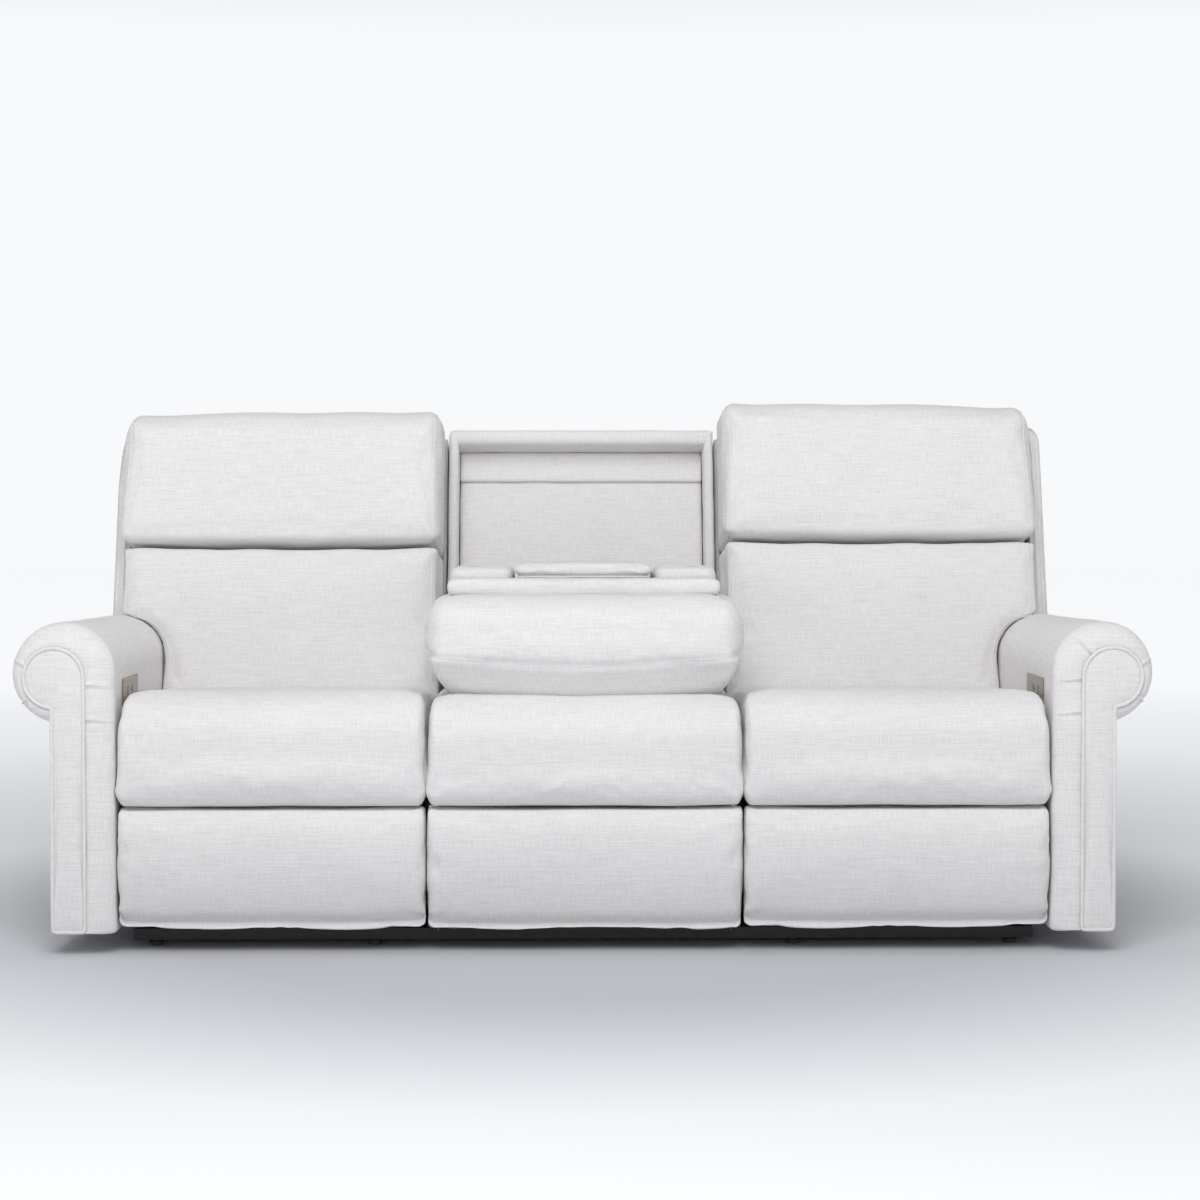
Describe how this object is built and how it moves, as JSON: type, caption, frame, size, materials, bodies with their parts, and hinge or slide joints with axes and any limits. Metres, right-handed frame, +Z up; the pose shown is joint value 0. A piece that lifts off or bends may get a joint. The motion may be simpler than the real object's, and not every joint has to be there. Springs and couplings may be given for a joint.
{
  "type": "reclining sofa with drop down console",
  "caption": "Power reclining sofa with rolled arms, linen-look upholstery and a middle back that folds down into a console with cup holders and a storage bin",
  "frame": {"origin": "on the floor under the middle of the sofa's box", "axes": "+X to the right of someone facing the sofa, +Y from the front to the rear, +Z up"},
  "size_m": [2.1798, 0.9904, 1.0909],
  "materials": {
    "upholstery": "matte",
    "black_steel": "satin",
    "zinc_plate": "satin",
    "timber": "matte",
    "switch_metal": "satin",
    "black_plastic": "matte",
    "spring_wire": "satin",
    "button_metal": "satin"
  },
  "bodies": {
    "base": {"base_rails": "black_steel", "feet": "black_plastic", "left_arm_cover": "upholstery", "right_arm_cover": "upholstery", "arm_frames": "timber", "arm_front_panels": "upholstery", "arm_piping": "upholstery", "control_plates": "switch_metal", "recliner_tracks": "zinc_plate", "rear_valance": "upholstery", "centre_seat_cushion": "upholstery", "centre_seat_frame": "timber", "centre_front_panel": "upholstery", "well_rim": "upholstery", "well_panel": "upholstery", "well_rail": "upholstery", "centre_back_shell": "upholstery", "console_pivots": "zinc_plate"},
    "console": {"console_board": "upholstery", "console_lower_cushion": "upholstery", "console_head_cushion": "upholstery", "console_front_pad": "upholstery", "console_side_pads": "upholstery", "cup_holders": "black_plastic", "storage_bin": "black_plastic", "console_arms": "zinc_plate"},
    "console_lid": {"console_lid": "upholstery", "lid_hinge": "zinc_plate"},
    "left_seat": {"left_seat_cushion": "upholstery", "left_seat_frame": "black_steel", "left_seat_springs": "spring_wire", "left_actuator": "black_steel"},
    "left_back": {"left_back_shell": "upholstery", "left_back_frame": "timber", "left_lumbar_cushion": "upholstery", "left_head_cushion": "upholstery"},
    "left_front_link": {"left_front_links": "zinc_plate"},
    "left_rear_link": {"left_rear_links": "zinc_plate"},
    "left_riser": {"left_riser_brackets": "zinc_plate"},
    "left_footrest": {"left_footrest_board": "timber", "left_footrest_pad": "upholstery"},
    "left_drive": {"left_drive_block": "zinc_plate"},
    "left_open_button": {"left_button_open": "button_metal"},
    "left_close_button": {"left_button_close": "button_metal"},
    "right_seat": {"right_seat_cushion": "upholstery", "right_seat_frame": "black_steel", "right_seat_springs": "spring_wire", "right_actuator": "black_steel"},
    "right_back": {"right_back_shell": "upholstery", "right_back_frame": "timber", "right_lumbar_cushion": "upholstery", "right_head_cushion": "upholstery"},
    "right_front_link": {"right_front_links": "zinc_plate"},
    "right_rear_link": {"right_rear_links": "zinc_plate"},
    "right_riser": {"right_riser_brackets": "zinc_plate"},
    "right_footrest": {"right_footrest_board": "timber", "right_footrest_pad": "upholstery"},
    "right_drive": {"right_drive_block": "zinc_plate"},
    "right_open_button": {"right_button_open": "button_metal"},
    "right_close_button": {"right_button_close": "button_metal"}
  },
  "joints": [
    {"name": "console_fold", "type": "hinge", "parent": "base", "child": "console", "pos_m": [0, 0.09, 0.555], "axis": [1, 0, 0], "range_deg": [-105, 0]},
    {"name": "console_lid_hinge", "type": "hinge", "parent": "console", "child": "console_lid", "pos_m": [0, 0.042, 0.712], "axis": [-1, 0, 0], "range_deg": [0, 95]},
    {"name": "left_seat_glide", "type": "slide", "parent": "base", "child": "left_seat", "axis": [0, -1, 0], "range_m": [0, 0.1101]},
    {"name": "left_recline", "type": "hinge", "parent": "left_seat", "child": "left_back", "pos_m": [-0.5995, 0.11, 0.33], "axis": [-1, 0, 0], "range_deg": [0, 40]},
    {"name": "left_footrest_swing", "type": "hinge", "parent": "left_seat", "child": "left_front_link", "pos_m": [-0.5995, -0.3857, 0.263], "axis": [-1, 0, 0], "range_deg": [0, 100]},
    {"name": "left_rear_link_swing", "type": "hinge", "parent": "left_seat", "child": "left_rear_link", "pos_m": [-0.5995, -0.2957, 0.263], "axis": [-1, 0, 0], "range_deg": [0, 100]},
    {"name": "left_riser_pivot", "type": "hinge", "parent": "left_front_link", "child": "left_riser", "pos_m": [-0.5995, -0.2857, 0.08979], "axis": [-1, 0, 0], "range_deg": [-100, 0]},
    {"name": "left_footrest_hinge", "type": "hinge", "parent": "left_riser", "child": "left_footrest", "pos_m": [-0.5995, -0.4057, 0.254], "axis": [-1, 0, 0], "range_deg": [0, 90]},
    {"name": "left_drive_run", "type": "slide", "parent": "left_seat", "child": "left_drive", "axis": [0, -1, 0], "range_m": [0, 0.2001]},
    {"name": "left_open_press", "type": "slide", "parent": "base", "child": "left_open_button", "axis": [-1, 0, 0], "range_m": [0, 0.002], "stiffness_N_per_m": 300},
    {"name": "left_close_press", "type": "slide", "parent": "base", "child": "left_close_button", "axis": [-1, 0, 0], "range_m": [0, 0.002], "stiffness_N_per_m": 300},
    {"name": "right_seat_glide", "type": "slide", "parent": "base", "child": "right_seat", "axis": [0, -1, 0], "range_m": [0, 0.1101]},
    {"name": "right_recline", "type": "hinge", "parent": "right_seat", "child": "right_back", "pos_m": [0.5995, 0.11, 0.33], "axis": [-1, 0, 0], "range_deg": [0, 40]},
    {"name": "right_footrest_swing", "type": "hinge", "parent": "right_seat", "child": "right_front_link", "pos_m": [0.5995, -0.3857, 0.263], "axis": [-1, 0, 0], "range_deg": [0, 100]},
    {"name": "right_rear_link_swing", "type": "hinge", "parent": "right_seat", "child": "right_rear_link", "pos_m": [0.5995, -0.2957, 0.263], "axis": [-1, 0, 0], "range_deg": [0, 100]},
    {"name": "right_riser_pivot", "type": "hinge", "parent": "right_front_link", "child": "right_riser", "pos_m": [0.5995, -0.2857, 0.08979], "axis": [-1, 0, 0], "range_deg": [-100, 0]},
    {"name": "right_footrest_hinge", "type": "hinge", "parent": "right_riser", "child": "right_footrest", "pos_m": [0.5995, -0.4057, 0.254], "axis": [-1, 0, 0], "range_deg": [0, 90]},
    {"name": "right_drive_run", "type": "slide", "parent": "right_seat", "child": "right_drive", "axis": [0, -1, 0], "range_m": [0, 0.2001]},
    {"name": "right_open_press", "type": "slide", "parent": "base", "child": "right_open_button", "axis": [1, 0, 0], "range_m": [0, 0.002], "stiffness_N_per_m": 300},
    {"name": "right_close_press", "type": "slide", "parent": "base", "child": "right_close_button", "axis": [1, 0, 0], "range_m": [0, 0.002], "stiffness_N_per_m": 300}
  ],
  "couplings": [
    {"joint": "left_seat_glide", "follows": "left_recline", "m_per_rad": 0.15756},
    {"joint": "left_rear_link_swing", "follows": "left_footrest_swing", "ratio": 1},
    {"joint": "left_riser_pivot", "follows": "left_footrest_swing", "ratio": -1},
    {"joint": "left_footrest_hinge", "follows": "left_footrest_swing", "ratio": 0.9},
    {"joint": "left_drive_run", "follows": "left_footrest_swing", "m_per_rad": 0.11459},
    {"joint": "right_seat_glide", "follows": "right_recline", "m_per_rad": 0.15756},
    {"joint": "right_rear_link_swing", "follows": "right_footrest_swing", "ratio": 1},
    {"joint": "right_riser_pivot", "follows": "right_footrest_swing", "ratio": -1},
    {"joint": "right_footrest_hinge", "follows": "right_footrest_swing", "ratio": 0.9},
    {"joint": "right_drive_run", "follows": "right_footrest_swing", "m_per_rad": 0.11459}
  ]
}
